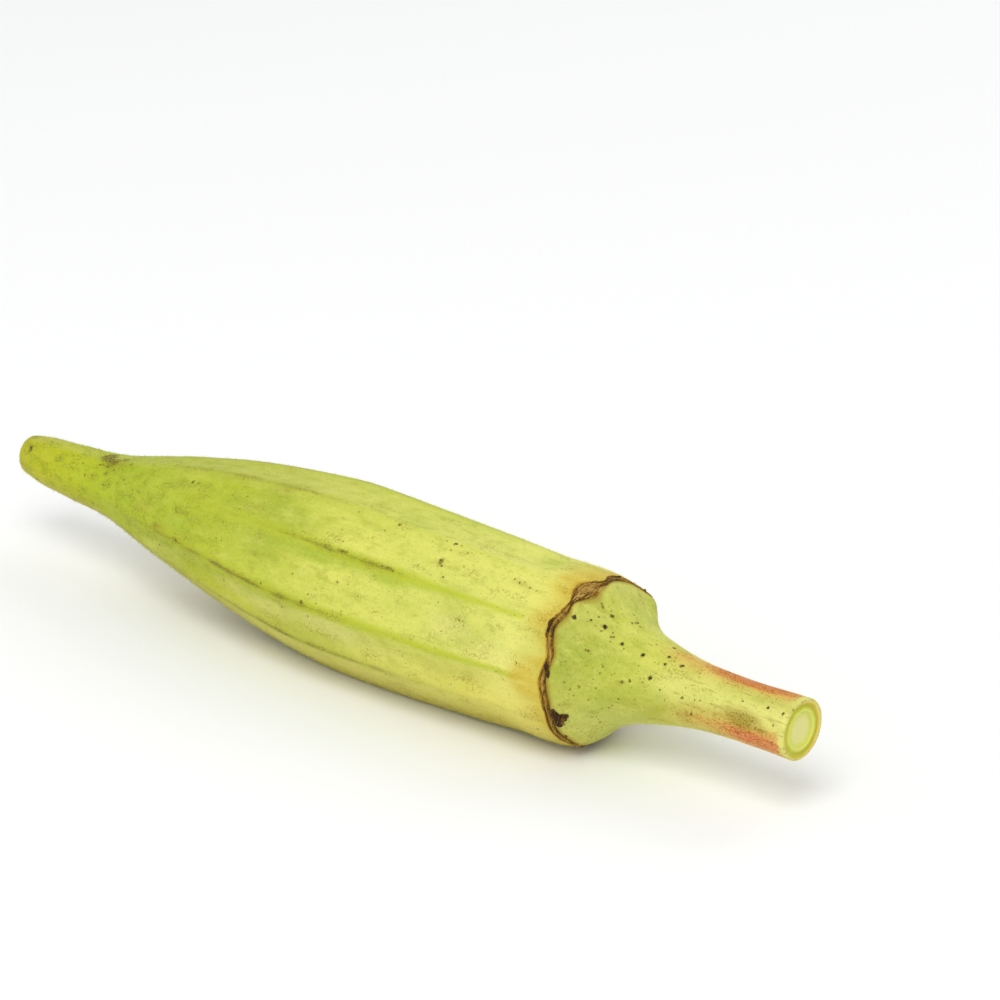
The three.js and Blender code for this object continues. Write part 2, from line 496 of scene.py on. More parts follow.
line, band = np.zeros(len(along)), np.zeros(len(along))
for ridge_angle, points in RIDGE_LINES.items():
    nearest = gap_to(ridge_angle) <= crest_gap + 0.02
    place, line_strength, band_strength = zip(*points)
    line = np.where(nearest, np.interp(along, place, line_strength, left=0, right=0), line)
    band = np.where(nearest, np.interp(along, place, band_strength, left=0, right=0), band)
before_shoulder = 1 - smooth(along, 97, 102)

from_scar = along - SCAR_FROM_TIP
ochre = 0.3 * hump(from_scar, -0.9, 0.9) + 0.1 * hump(from_scar, -3, 4)
for middle, size, strength in OCHRE:
    ochre += strength * hump(gap_to(middle), 0, size) * hump(from_scar, -2, size)

for name, values in {
    "from_tip": along,
    "turn": np.sin(angle),
    # The lines and bands narrow towards the scar
    "crest_gap": crest_gap * (1 + 0.8 * smooth(along, 76, 90)),
    "ridge_line": line * before_shoulder,
    "ridge_band": band * before_shoulder,
    "scar": scar,
    "ochre": ochre * smooth(-from_scar, -0.2, 0.6),
    "blush": patches(BLUSH),
    "tanned": np.minimum(patches(TAN), 1),
    "scar_dark": np.clip(round_scar(angle, *SCAR_DARKNESS), 0, 1),
    # A stripe along the stem stays pale
    "pale": hump(turn, 150, 26) * smooth(along, 111, 118),
    # The rings of the cut are a little off its middle, which brings the rim's painted highlight and
    # painted dark edge out on the +Y side
    "cut_radius": np.where(on_cut, outline * (1 + 0.07 * np.cos(angle)), 9),
}.items():
    store(mesh, name, values)


# Marks on the skin, by where the camera sees them in its frame of 1000 by 1000 and their
# size there. Each is cast on to the skin.
def cast(right, down):
    across = (right - FRAME_SIDE / 2) / FRAME_SIDE * SENSOR / LENS
    up = (FRAME_SIDE / 2 - down) / FRAME_SIDE * SENSOR / LENS
    ray = Vector((across, up, -1))
    ray.rotate(camera.rotation_quaternion)
    hit, place, _, _ = pod.ray_cast(camera_place, ray.normalized())
    if not hit:
        raise ValueError(f"no skin at {right}, {down}")
    return place / MM


PIXELS_PER_MM = LENS / SENSOR * FRAME_SIDE * MM / CAMERA_DISTANCE

# Small near-black flecks of dried skin: right, down, width, strength
FLECKS = (
    (574, 617, 3.8, 1.2), (591, 620, 2.6, 0.9), (605, 627, 4.2, 0.95), (602, 604, 2.4, 0.6),
    (612, 616, 3.4, 0.7), (622, 644, 3.2, 0.8), (643, 655, 3.6, 0.9), (669, 657, 3, 0.95),
    (665, 664, 2.8, 0.9), (682, 666, 3.6, 0.9), (650, 678, 3.4, 0.9), (674, 648, 2.8, 0.8),
    (588, 651, 2.4, 0.6), (691, 714, 2.6, 0.6), (682, 698, 2.4, 0.6), (455, 544, 2.4, 0.8),
    (441, 560, 2.4, 0.8), (442, 566, 2.2, 0.7), (301, 602, 3, 0.7), (193, 482, 2.6, 0.9),
    (630, 681, 2.6, 0.7), (622, 682, 2.6, 0.7), (611, 637, 2.4, 0.6), (624, 649, 2, 0.6),
    (768, 708, 2.6, 0.8), (783, 714, 2.6, 0.8), (640, 627, 2.2, 0.5), (447, 541, 1.8, 0.6),
    (451, 550, 1.8, 0.5), (462, 546, 1.8, 0.5), (468, 553, 1.8, 0.5), (515, 579, 1.8, 0.5),
    (520, 583, 2, 0.6), (525, 582, 1.8, 0.5), (440, 562, 2.2, 0.6), (443, 577, 2.2, 0.8),
    (457, 544, 2.2, 0.9), (530, 588, 2, 0.5), (536, 591, 1.8, 0.4),
    (337, 582, 2.2, 0.6), (342, 551, 2.4, 0.7), (347, 552, 2, 0.6), (388, 568, 2.4, 0.7),
    (393, 571, 2, 0.6), (382, 566, 2, 0.5), (31, 447, 3, 0.8), (85, 475, 2.4, 0.5),
    (108, 467, 2.4, 0.5), (125, 459, 2.4, 0.7), (660, 690, 2, 0.6), (773, 725, 2, 0.6),
    (596, 688, 2, 0.4), (570, 690, 2, 0.4), (612, 706, 2, 0.4), (635, 700, 2, 0.4),
    (632, 623, 2, 0.7), (635, 623, 1.8, 0.6), (638, 623, 2.4, 0.8), (634, 615, 2, 0.5),
    (599, 617, 2, 0.6), (603, 607, 2.8, 0.5), (614, 637, 2.4, 0.7), (613, 633, 2, 0.5),
    (586, 650, 2, 0.5), (600, 673, 2, 0.5), (564, 682, 2, 0.4), (579, 687, 2.4, 0.5),
    (588, 700, 2, 0.4), (600, 722, 2.2, 0.5), (609, 708, 2, 0.4), (538, 729, 2.6, 0.7),
    (60, 458, 2.4, 0.3), (83, 463, 2.4, 0.4), (92, 475, 2.2, 0.5), (100, 465, 2.4, 0.6),
    (103, 485, 2, 0.5), (109, 484, 2, 0.5), (124, 480, 2.2, 0.5), (132, 464, 2.4, 0.6),
    (106, 474, 2.2, 0.6), (51, 476, 2.2, 0.4),
)
# Softer brown-green stains: right, down, width, height, strength
STAINS = (
    (110, 457, 12, 15, 1.6), (113, 462, 16, 11, 1.1), (126, 460, 9, 9, 0.7), (31, 449, 4, 8, 1.1),
    (287, 491, 8, 5, 0.4), (441, 562, 4, 10, 0.85), (308, 487, 9, 4, 0.5), (342, 551, 11, 4, 0.75),
    (388, 568, 12, 4, 0.75), (301, 603, 7, 4, 0.6), (605, 618, 8, 4, 0.5),
    (612, 617, 6, 4, 0.5), (622, 682, 8, 4, 0.5), (107, 466, 20, 5, 0.5),
    (518, 582, 14, 9, 0.3), (528, 588, 12, 8, 0.3), (337, 582, 8, 5, 0.35),
    (253, 554, 14, 4, 0.3), (175, 540, 10, 6, 0.5), (155, 525, 12, 8, 0.5),
    (200, 466, 14, 4, 0.35), (135, 508, 12, 6, 0.35), (240, 585, 10, 4, 0.35), (36, 437, 24, 10, 0.4),
    (596, 626, 9, 2, 0.5), (613, 617, 8, 3, 0.6), (606, 627, 6, 3, 0.7), (622, 645, 5, 4, 0.4),
    (62, 461, 8, 5, 0.3), (95, 475, 10, 7, 0.4), (106, 474, 9, 7, 0.45), (105, 485, 12, 4, 0.35),
    (56, 477, 7, 6, 0.3), (131, 465, 6, 6, 0.45), (124, 480, 6, 4, 0.35),
)
# Broad soft smudges, the same way
SMUDGES = (
    (743, 720, 34, 19, 1), (733, 712, 26, 12, 0.6), (714, 711, 30, 11, 0.4),
    (754, 727, 28, 10, 0.75), (694, 706, 26, 9, 0.3), (612, 617, 18, 8, 0.35),
    (636, 600, 22, 16, 0.3), (160, 528, 34, 14, 0.4), (140, 508, 26, 12, 0.35),
    (187, 552, 26, 10, 0.35), (120, 462, 30, 9, 0.35), (288, 489, 20, 9, 0.35),
    (441, 564, 9, 12, 0.35), (522, 584, 26, 8, 0.3), (617, 683, 14, 6, 0.35),
    (556, 640, 6, 40, 0.35), (552, 690, 8, 22, 0.3), (566, 706, 12, 10, 0.3),
)
# Fields of the skin that are greener than the rest, and paler fields of painted highlight on the lower
# flank, the same way
GREENER = (
    (318, 554, 60, 18, 1), (352, 563, 60, 17, 1), (386, 577, 50, 14, 0.9), (290, 542, 50, 15, 0.8),
    (417, 585, 50, 7, 0.6), (452, 594, 50, 6, 0.5), (172, 522, 50, 20, 0.5),
)
PAINTED_HIGHLIGHT_FIELDS = (
    (329, 628, 80, 20, 1), (273, 608, 80, 18, 0.8), (236, 588, 90, 16, 0.5), (160, 550, 90, 22, 0.5),
    (450, 627, 46, 28, 0.7), (362, 646, 70, 20, 0.5), (482, 652, 56, 26, 0.6),
)
fleck_places = [
    (cast(right, down), width / PIXELS_PER_MM, strength) for right, down, width, strength in FLECKS
]
skin_places = corner_places(mesh)
for name, marks in (
    ("stained", STAINS), ("smudged", SMUDGES), ("greener", GREENER), ("paler", PAINTED_HIGHLIGHT_FIELDS),
):
    marked = np.zeros(len(along))
    for right, down, wide, high, strength in marks:
        gaps = skin_places - np.array(cast(right, down))
        lengthwise = gaps[:, 0] * PIXELS_PER_MM / (0.65 * wide)
        across = np.hypot(gaps[:, 1], gaps[:, 2]) * PIXELS_PER_MM / (0.55 * high)
        covered = strength * (1 - smooth(np.hypot(lengthwise, across), 0.2, 1.7))
        marked = np.maximum(marked, covered)
    store(mesh, name, marked)


# Fresh okra skin: living plant skin under a thin waxy film and a down of short hairs. It
# gives the eye a soft satin sheen, a yellow-green that is mottled cell by cell, a darker
# line of veins along each ridge, and dark flecks where the skin has dried.
# Its patterns: features per mm along the pod and across it, detail, and place in the noise.
# Single cells are drawn 0.2 mm wide, twice their real size, so that they show.
SKIN_PATTERNS = {
    "grain": (5.2, 5.2, 1, 61),
    "cells": (2.2, 2.6, 2, 0),
    "bits": (3.2, 4.2, 2, 41),
    "veins": (0.28, 3.2, 2, 51),
    "patches": (0.45, 0.7, 3, 7),
    "streaks": (0.1, 0.8, 3, 3),
    "fields": (0.06, 0.09, 2, 11),
    "clusters": (0.22, 0.5, 3, 23),
    "fibrous": (0.22, 1.7, 3, 77),
    "scar_waves": (0.9, 0.6, 1, 91),
    "scar_strands": (6.5, 0.7, 2, 14),
}
# The ground colour at distances from the tip
SKIN_GROUND = (
    (0, "#b0a226"), (3, "#b7b61a"), (14, "#adb618"), (24, "#a0b01b"), (44, "#adb72a"),
    (66, "#c6ca54"), (86, "#d0d264"), (99, "#dcda6e"), (102.6, "#cfc560"),
    (104, "#bfc258"), (108, "#bfc350"), (114, "#c9ca58"), (122, "#d7d26f"), (133, "#ded577"),
)
# What lies over the ground: a colour, its strength, and what the strength varies with, as a
# name, where it starts, where it is full, and the least and most that it then gives
SKIN_LAYERS = (
    ("#8fa024", 0.5, ("fields", 0.48, 0.72)),
    ("#dfdc6c", 0.45, ("fields", 0.48, 0.28), ("from_tip", 20, 64, 0.1, 1)),
    ("#99a62a", 0.16, ("streaks", 0.5, 0.72)),
    ("#dcda6c", 0.16, ("streaks", 0.48, 0.28), ("from_tip", 20, 64, 0.1, 1)),
    ("#98a02a", 0.35, ("patches", 0.5, 0.72)),
    ("#dad86c", 0.3, ("patches", 0.48, 0.3), ("from_tip", 20, 64, 0.15, 1)),
    ("#8f9a28", 0.09, ("veins", 0.5, 0.7)),
    ("#e2e07c", 0.07, ("veins", 0.48, 0.3), ("from_tip", 10, 60, 0.3, 1)),
    ("#8e981e", 0.4, ("from_tip", 60, 26), ("patches", 0.5, 0.62), ("cells", 0.4, 0.6)),
    ("#c2a848", 0.34, ("turn", 0.1, -0.8), ("from_tip", 105, 102, 0.25, 1)),
    ("#e5d562", 0.55, ("turn", 0.25, -0.3), ("from_tip", 76, 98), ("from_tip", 103, 101)),
    # Painted shade: a greyer strip along the top of the neck and body
    ("#bcbb5e", 0.35, ("turn", 0.9, 0.985), ("from_tip", 72, 50)),
    # Painted highlight: the lower flank below the middle ridge paler
    ("#e2dc74", 0.4, ("turn", -0.15, -0.65), ("from_tip", 34, 52), ("from_tip", 84, 68)),
    ("#d8dc7c", 0.35, ("turn", 0, -0.6), ("from_tip", 103, 105), ("from_tip", 116, 110)),
    (
        "#e8e482", 0.4, ("turn", 0.9, 0.3), ("turn", -0.75, 0), ("from_tip", 90, 97),
        ("from_tip", 102.4, 101.4),
    ),
    # Painted shade: the underside of the body darker
    ("#ae9428", 0.4, ("turn", -0.5, -0.9), ("from_tip", 105, 100)),
    ("#e0dd7c", 0.55, ("pale", 0, 1)),
    ("#9eb02c", 0.9, ("greener", 0, 1), ("streaks", 0.3, 0.6, 0.6, 1)),
    # Painted highlight on the paler fields
    ("#e6de8a", 0.5, ("paler", 0, 1), ("streaks", 0.3, 0.6, 0.6, 1)),
    ("#7d8a22", 0.16, ("cells", 0.54, 0.7)),
    ("#e0de80", 0.08, ("cells", 0.44, 0.28)),
    ("#7a8424", 0.08, ("grain", 0.54, 0.7)),
    ("#b2bc26", 0.85, ("ridge_band", 0, 1), ("line_gap", 2.1, 0.8), ("streaks", 0.25, 0.5, 0.6, 1)),
    ("#9ea224", 0.65, ("ridge_line", 0, 1), ("line_gap", 1.9, 0.75)),
    ("#7a7812", 0.9, ("ridge_line", 0.1, 1), ("line_gap", 1.12, 0.68), ("clusters", 0.38, 0.52, 0.5, 1)),
    (
        "#6a5f16", 0.7, ("ridge_line", 0.1, 0.7), ("line_gap", 1.5, 0.75),
        ("clusters", 0.42, 0.54), ("bits", 0.46, 0.58),
    ),
    ("#93852a", 0.55, ("clusters", 0.54, 0.68), ("bits", 0.46, 0.62)),
    ("#808a1c", 0.6, ("from_tip", 50, 26), ("bits", 0.5, 0.62), ("patches", 0.42, 0.58)),
    ("#c5a82c", 0.8, ("ochre", 0, 0.95), ("streaks", 0.3, 0.65, 0.6, 1)),
    ("#a8822c", 0.6, ("ochre", 0.25, 0.9), ("clusters", 0.42, 0.65), ("bits", 0.45, 0.62)),
    ("#cdab50", 0.85, ("tanned", 0, 1), ("fibrous", 0.3, 0.58, 0.6, 1)),
    ("#d6a252", 0.7, ("blotched_blush", 0.5, 0.9)),
    ("#cf6642", 0.9, ("blotched_blush", 0.78, 1.25), ("bits", 0.34, 0.58, 0.3, 1)),
    ("#bb4226", 0.75, ("blush", 0.2, 0.85), ("bits", 0.5, 0.6), ("fibrous", 0.4, 0.56)),
    ("#b4701c", 0.45, ("blush", 0.2, 0.7), ("turn", 0.8, 0.97)),
    ("#96601e", 0.6, ("tanned", 0.1, 0.7), ("bits", 0.52, 0.62), ("patches", 0.38, 0.55)),
    ("#96822c", 0.5, ("from_tip", 112, 120), ("fibrous", 0.58, 0.72)),
    ("#97801f", 0.75, ("smudged", 0, 1), ("fibrous", 0.3, 0.55, 0.6, 1)),
    ("#6c5212", 0.6, ("smudged", 0.3, 1), ("bits", 0.5, 0.62)),
    ("#82781c", 0.8, ("stained", 0, 1)),
    ("#4a400e", 0.85, ("stained", 0.15, 1), ("bits", 0.42, 0.58)),
    ("#5a4a10", 0.9, ("specked", 0, 1)),
    ("#7c6c1a", 0.7, ("flecked", 0, 0.35)),
    ("#1e1302", 0.95, ("flecked", 0.3, 0.9)),
)
# The scar across its width: place, colour, and how much of the skin it covers. A dry tan strip
# lies between two thin brown lines, with a paler lip on the pod's side.
SCAR_COLOURS = (
    (-1.8, "#d4be54", 0), (-1.2, "#cdb24e", 0.4), (-0.88, "#b8942c", 0.75),
    (-0.7, "#8e6a18", 0.97), (-0.52, "#765310", 1), (-0.36, "#98721a", 0.97),
    (0, "#b68f3c", 0.93), (0.28, "#8a6614", 0.97), (0.44, "#644609", 1), (0.6, "#6a4d0e", 1),
    (0.8, "#8c7420", 0.85), (1.3, "#9a8a2c", 0.6), (1.95, "#a8a038", 0),
)
# How much its ramp covers, and the ramp's middle less what the noise that bends the edges adds
SCAR_SPAN, SCAR_MIDDLE = 4, 0.405
SCAR_LAYERS = (
    ("#4e340a", 0.65, ("scar_cover", 0.8, 1), ("scar_strands", 0.52, 0.66)),
    ("#cba658", 0.5, ("scar_cover", 0.8, 1), ("scar_strands", 0.46, 0.32)),
    ("#5a3c0a", 0.8, ("scar_dark", 0.3, 0.9), ("scar_cover", 0.6, 0.95), ("bits", 0.3, 0.55, 0.5, 1)),
    ("#3d2808", 0.65, ("scar_cover", 0.7, 1), ("clusters", 0.5, 0.62), ("bits", 0.42, 0.55)),
)
# Fine relief: pattern, strength, and depth in mm
SKIN_BUMPS = (("streaks", 0.25, 0.3), ("veins", 0.25, 0.08), ("bits", 0.2, 0.08), ("grain", 0.2, 0.06))
# How far the noise bends the flecks' edges, in mm
FLECK_BEND = 0.45
# Scattered specks: cells per mm, the radius of the largest as a share of a cell, and strength
SPECKS = ((0.6, 0.2, 0.9), (1.2, 0.26, 0.8), (2.4, 0.42, 0.6))


def okra_skin():
    material, tree, shader = start_material("fresh okra skin", {
        "IOR": 1.42,
        "Specular IOR Level": 0.22,
        "Subsurface Weight": 0.1,
        "Subsurface Radius": (1.0, 0.8, 0.2),
        "Subsurface Scale": MM,
    })
    place = place_in_mm(tree)
    value = {
        name: add(tree, "Attribute", attribute_name=name).outputs["Fac"]
        for name in (
            "from_tip", "turn", "crest_gap", "ridge_line", "ridge_band", "scar", "ochre",
            "blush", "tanned", "pale", "scar_dark", "stained", "smudged", "greener", "paler",
        )
    }
    for name, (lengthwise, across, detail, offset) in SKIN_PATTERNS.items():
        moved = add(
            tree,
            "Mapping",
            {"Vector": place, "Scale": (lengthwise, across, across), "Location": (offset,) * 3},
        )
        value[name] = add(tree, "TexNoise", {"Vector": moved, "Scale": 1.0, "Detail": detail})
    for name, pattern, reach, base in (
        ("line_wander", "patches", 0.9, "crest_gap"),
        ("line_gap", "bits", 0.6, "line_wander"),
        ("scar_place", "scar_waves", 0.4, "scar"),
        ("blotched_blush", "fibrous", 0.8, "blush"),
        ("scar_edge", "bits", 0.35, "scar_place"),
    ):
        value[name] = add(
            tree, "Math", (value[pattern], reach, value[base]), operation="MULTIPLY_ADD"
        )

    # Flecks with uneven edges, at their own places
    uneven = add(tree, "TexNoise", {"Vector": place, "Scale": 3.2, "Detail": 2.0})
    bent = add(
        tree,
        "VectorMath",
        (uneven.outputs["Color"], (FLECK_BEND,) * 3, place),
        operation="MULTIPLY_ADD",
    )
    value["flecked"] = value["specked"] = 0.0
    for spot, width, strength in fleck_places:
        middle = [part + FLECK_BEND / 2 for part in spot]
        reach = add(tree, "VectorMath", (bent, middle), operation="DISTANCE")
        shown = add(
            tree, "MapRange", (reach.outputs["Value"], 0.85 * width, 0.3 * width, 0, strength)
        )
        value["flecked"] = add(tree, "Math", (value["flecked"], shown), operation="MAXIMUM")

    # Scattered specks: most on the cap, and some in clusters elsewhere
    cap = add(tree, "MapRange", (value["from_tip"], 103, 105, 0, 0.5))
    clustered = add(tree, "MapRange", (value["clusters"], 0.48, 0.7, 0.06, 0.8))
    room = add(tree, "Math", (cap, clustered), operation="MAXIMUM")
    for spacing, largest, strength in SPECKS:
        cells = add(tree, "TexVoronoi", {"Vector": bent, "Scale": spacing})
        kind = add(tree, "SeparateColor", {"Color": cells.outputs["Color"]})
        present = add(tree, "Math", (kind.outputs[0], room), operation="LESS_THAN")
        size = add(tree, "MapRange", (kind.outputs[1], 0, 1, 0.3 * largest, largest))
        spot = add(tree, "MapRange", (cells.outputs["Distance"], size, 0, 0, 2))
        faint = add(tree, "MapRange", (kind.outputs[2], 0, 1, 0.25 * strength, strength))
        for factor in (faint, present):
            spot = add(tree, "Math", (spot, factor), operation="MULTIPLY")
        value["specked"] = add(tree, "Math", (value["specked"], spot), operation="MAXIMUM")

    ramps = {}
    for name, source, scale, shift, stops in (
        ("ground", "from_tip", 1 / LENGTH, 0, [(far / LENGTH, hexed) for far, hexed in SKIN_GROUND]),
        ("scar", "scar_edge", 1 / SCAR_SPAN, SCAR_MIDDLE, [
            (spot / SCAR_SPAN + 0.5, hexed, cover) for spot, hexed, cover in SCAR_COLOURS
        ]),
    ):
        share = add(tree, "Math", (value[source], scale, shift), operation="MULTIPLY_ADD")
        ramps[name] = add(tree, "ValToRGB", {"Fac": share})
        set_stops(ramps[name], stops)
    value["scar_cover"] = ramps["scar"].outputs["Alpha"]

    skin = ramps["ground"]
    scar = (ramps["scar"], 1, ("scar_cover", 0, 1), ("bits", 0.2, 0.5, 0.8, 1))
    for shade, strength, *causes in (*SKIN_LAYERS, scar, *SCAR_LAYERS):
        for name, start, full, *ends in causes:
            caused = add(
                tree,
                "MapRange",
                (value[name], start, full, *(ends or (0, 1))),
                interpolation_type="SMOOTHSTEP",
            )
            strength = add(tree, "Math", (caused, strength), operation="MULTIPLY")
        over = colour(shade) if isinstance(shade, str) else shade
        skin = add(tree, "Mix", {0: strength, 6: skin, 7: over}, data_type="RGBA").outputs[2]
    tree.links.new(skin, shader.inputs["Base Color"])

    satin = add(tree, "MapRange", (value["patches"], 0.3, 0.7, 0.45, 0.6))
    rough = add(tree, "Math", (value["scar_cover"], 0.3, satin), operation="MULTIPLY_ADD")
    tree.links.new(rough.outputs[0], shader.inputs["Roughness"])
    below = {}
    for name, strength, depth in SKIN_BUMPS:
        inputs = {"Height": value[name], "Strength": strength, "Distance": depth * MM, **below}
        below = {"Normal": add(tree, "Bump", inputs)}
    tree.links.new(below["Normal"].outputs[0], shader.inputs["Normal"])
    return material


# Freshly cut okra stem: sliced plant tissue, wet at first and drying. It gives the eye
# rings: a straw-coloured rim of skin with a painted highlight and a painted shade at its edge,
# green bark, paler wood and a cream pith.
# Its colours from the middle of the cut outwards: distance in mm, colour. The two outermost
# are a painted highlight on the straw rim and a painted shade at its edge.
CUT_COLOURS = (
    (0, "#dfda88"), (1.75, "#e2dd86"), (2.15, "#dadb6c"), (2.5, "#cfd258"), (2.75, "#dcdd66"),
    (3.05, "#c6c836"), (3.35, "#b8b622"), (3.6, "#c0b828"), (3.75, "#d0b83a"),
    (3.9, "#e2cb5e"), (4.1, "#e4ce78"), (4.35, "#b08c48"),
)
# How far out their ramp reaches
CUT_SPAN = 4.4


def cut_stem():
    material, tree, shader = start_material("cut okra stem", {
        "Roughness": 0.5,
        "IOR": 1.38,
        "Subsurface Weight": 0.15,
        "Subsurface Radius": (1.0, 0.9, 0.4),
        "Subsurface Scale": MM,
    })
    place = place_in_mm(tree)
    wobble = add(tree, "TexNoise", {"Vector": place, "Scale": 0.9, "Detail": 3.0})
    radius = add(tree, "Attribute", attribute_name="cut_radius").outputs["Fac"]
    bent = add(tree, "Math", (wobble, 0.45, radius), operation="MULTIPLY_ADD")
    share = add(tree, "Math", (bent, CUT_SPAN), operation="DIVIDE")
    ramp = add(tree, "ValToRGB", {"Fac": share})
    set_stops(ramp, [(distance / CUT_SPAN, hexed) for distance, hexed in CUT_COLOURS])
    pores = add(tree, "TexNoise", {"Vector": place, "Scale": 4.5, "Detail": 2.0})
    dark = add(tree, "MapRange", (pores, 0.55, 0.75, 0, 0.3))
    mixed = add(tree, "Mix", {0: dark, 6: ramp, 7: colour("#b3b04a")}, data_type="RGBA")
    tree.links.new(mixed.outputs[2], shader.inputs["Base Color"])
    bump = add(tree, "Bump", {"Height": pores, "Strength": 0.35, "Distance": 0.1 * MM})
    tree.links.new(bump.outputs[0], shader.inputs["Normal"])
    return material


mesh.materials.append(okra_skin())
mesh.materials.append(cut_stem())
for polygon in mesh.polygons:
    polygon.use_smooth = True
    if on_cut[list(polygon.vertices)].all():
        polygon.material_index = 1
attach(pod, "root")
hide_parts("okra_pod")


# ---------------------------------------------------------------- scar fibres
column_angles, _, _, column_dips = column_shape()


def on_scar(turn, offset):
    """The skin's place and normal at an angle and a share of the scar's width, in mm."""
    angle = np.array([turn])
    dip = np.interp(turn, column_angles, column_dips, period=2 * math.pi)
    width, shift = round_scar(angle, *SCAR_WIDTH)[0], round_scar(angle, *SCAR_SHIFT)[0]
    x = SCAR_FROM_TIP + offset * width - dip - shift
    outwards = Vector((0, math.cos(turn), math.sin(turn)))
    middle = Vector((x - LENGTH / 2, 0, middle_height(x)))
    hit, place, normal, _ = pod.ray_cast((middle + outwards * 20) * MM, -outwards)
    if not hit:
        raise ValueError("the scar is off the skin")
    return place / MM, normal


def scar_path(turns, offsets, lifts):
    """Points over the scar, lifted off the skin, and the skin's normals there."""
    path, normals = [], []
    for turn, offset, lift in zip(turns, offsets, lifts):
        place, normal = on_scar(turn, offset)
        path.append(place + normal * lift)
        normals.append(normal)
    return path, normals


def strand(path, normals, thick, sides=5):
    """Corners and faces of a tapering strand along a path, flattened towards the skin."""
    corners, faces = [path[0]], []
    last = len(path) - 1
    for step in range(1, last):
        course = (path[step + 1] - path[step - 1]).normalized()
        beside = course.cross(normals[step]).normalized()
        above = beside.cross(course)
        width = thick * (1 - abs(2 * step / last - 1) ** 3) * (0.8 + 0.4 * DRAW.random())
        for side in range(sides):
            turn = 2 * math.pi * side / sides
            corners.append(
                path[step] + beside * width * math.cos(turn) + above * width * 0.7 * math.sin(turn)
            )
    corners.append(path[-1])
    for side in range(sides):
        after = (side + 1) % sides
        faces.append((0, 1 + after, 1 + side))
        for step in range(last - 2):
            low = 1 + step * sides
            faces.append((low + side, low + after, low + sides + after, low + sides + side))
        low = 1 + (last - 2) * sides
        faces.append((low + side, low + after, len(corners) - 1))
    return corners, faces


DRAW = np.random.default_rng(7)
all_corners, all_faces, all_shades = [], [], []


def keep(corners, faces, shade):
    start = len(all_corners)
    all_corners.extend(corners)
    all_faces.extend(tuple(corner + start for corner in face) for face in faces)
    all_shades.extend([shade] * len(corners))


# Strands along the scar's two lines and between them: count, offset, spread, length in mm,
# thickness, lightness
STRANDS = (
    (110, -0.54, 0.06, 3, 0.034, 0.42), (130, 0.5, 0.07, 3, 0.038, 0.28),
    (80, 0, 0.3, 1.8, 0.032, 0.75), (30, -0.9, 0.2, 1.4, 0.022, 0.75),
)
parts = np.linspace(0, 1, 9)
for count, offset, spread, length, thick, light in STRANDS:
    for _ in range(count):
        middle = DRAW.uniform(0, 2 * math.pi)
        reach = length * DRAW.uniform(0.5, 1.4) / SCAR_RADIUS
        across = offset + DRAW.normal(0, spread)
        drift, sway = DRAW.normal(0, 0.12), DRAW.uniform(0, 6)
        lift = DRAW.uniform(0, 0.06)
        path, normals = scar_path(
            middle + reach * (parts - 0.5),
            across + drift * (parts - 0.5) + 0.06 * np.sin(sway + 5 * parts),
            lift * np.sin(math.pi * parts) + 0.2 * thick,
        )
        darkness = np.clip(round_scar(np.array([middle]), *SCAR_DARKNESS), 0, 1)[0]
        shade = light - 0.6 * darkness + DRAW.normal(0.1, 0.18)
        keep(*strand(path, normals, thick * DRAW.uniform(0.6, 1.3)), shade)

# Frayed ends that leave the scar
FRAYED_ENDS = 150
parts = np.linspace(0, 1, 6)
for _ in range(FRAYED_ENDS):
    middle, across = DRAW.uniform(0, 2 * math.pi), DRAW.choice((-0.5, 0.5)) + DRAW.normal(0, 0.1)
    out = DRAW.choice((-1, 1)) * DRAW.uniform(0.1, 0.5)
    reach, lift = DRAW.normal(0, 0.06), DRAW.uniform(0, 0.25)
    path, normals = scar_path(middle + reach * parts, across + out * parts, lift * parts**2)
    keep(*strand(path, normals, DRAW.uniform(0.025, 0.045), 4), DRAW.uniform(0, 0.6))

# The torn patch at the top of the cap: tan strands side by side, some frayed over the cap.
# Count, least and most angle, least and most offset.
TORN_PATCH = ((80, 94, 112, -0.6, 0.6), (16, 92, 101, 0.55, 1.0))
parts = np.linspace(0, 1, 8)
for count, low_turn, high_turn, low_across, high_across in TORN_PATCH:
    for _ in range(count):
        middle = math.radians(DRAW.uniform(low_turn, high_turn))
        reach, across = DRAW.uniform(0.08, 0.2), DRAW.uniform(low_across, high_across)
        lift = DRAW.uniform(0.02, 0.12)
        path, normals = scar_path(
            middle + reach * (parts - 0.5), across - 0.15 * (parts - 0.5),
            lift * np.sin(math.pi * parts),
        )
        keep(*strand(path, normals, DRAW.uniform(0.03, 0.065)), DRAW.uniform(0.3, 0.85))


# Dried knots and the torn remnant of a sepal: right, down, length along the scar, width, shade
KNOTS = (
    (549, 629, 1.1, 0.5, -0.1), (550, 623, 1.0, 0.5, 0), (546, 666, 1.0, 0.5, -0.1),
    (548, 674, 1.1, 0.45, -0.1), (545, 681, 0.7, 0.35, 0), (543, 694, 0.7, 0.25, 0.2),
    (572, 603, 0.7, 0.3, 0.1), (555, 716, 1.9, 1.0, -0.1), (559, 719, 2.0, 1.1, -0.12),
    (563, 717.5, 1.3, 0.9, -0.05), (559, 724, 1.2, 0.8, -0.1), (553, 712, 1.0, 0.6, 0),
    (566, 716, 0.7, 0.7, -0.05), (566, 736, 0.7, 0.25, 0.1), (618, 577, 1.3, 0.3, 0),
)
# Angles of the knots on the far side
FAR_KNOTS = (250, 262, 291, 301, 322, 341, 8, 44, 58)
# Strands of the remnant: how many, and between what places right and down they start and end
REMNANT_STRANDS = 26
REMNANT_STARTS = ((552, 560), (713, 724))
REMNANT_ENDS = ((558, 567), (714, 724))

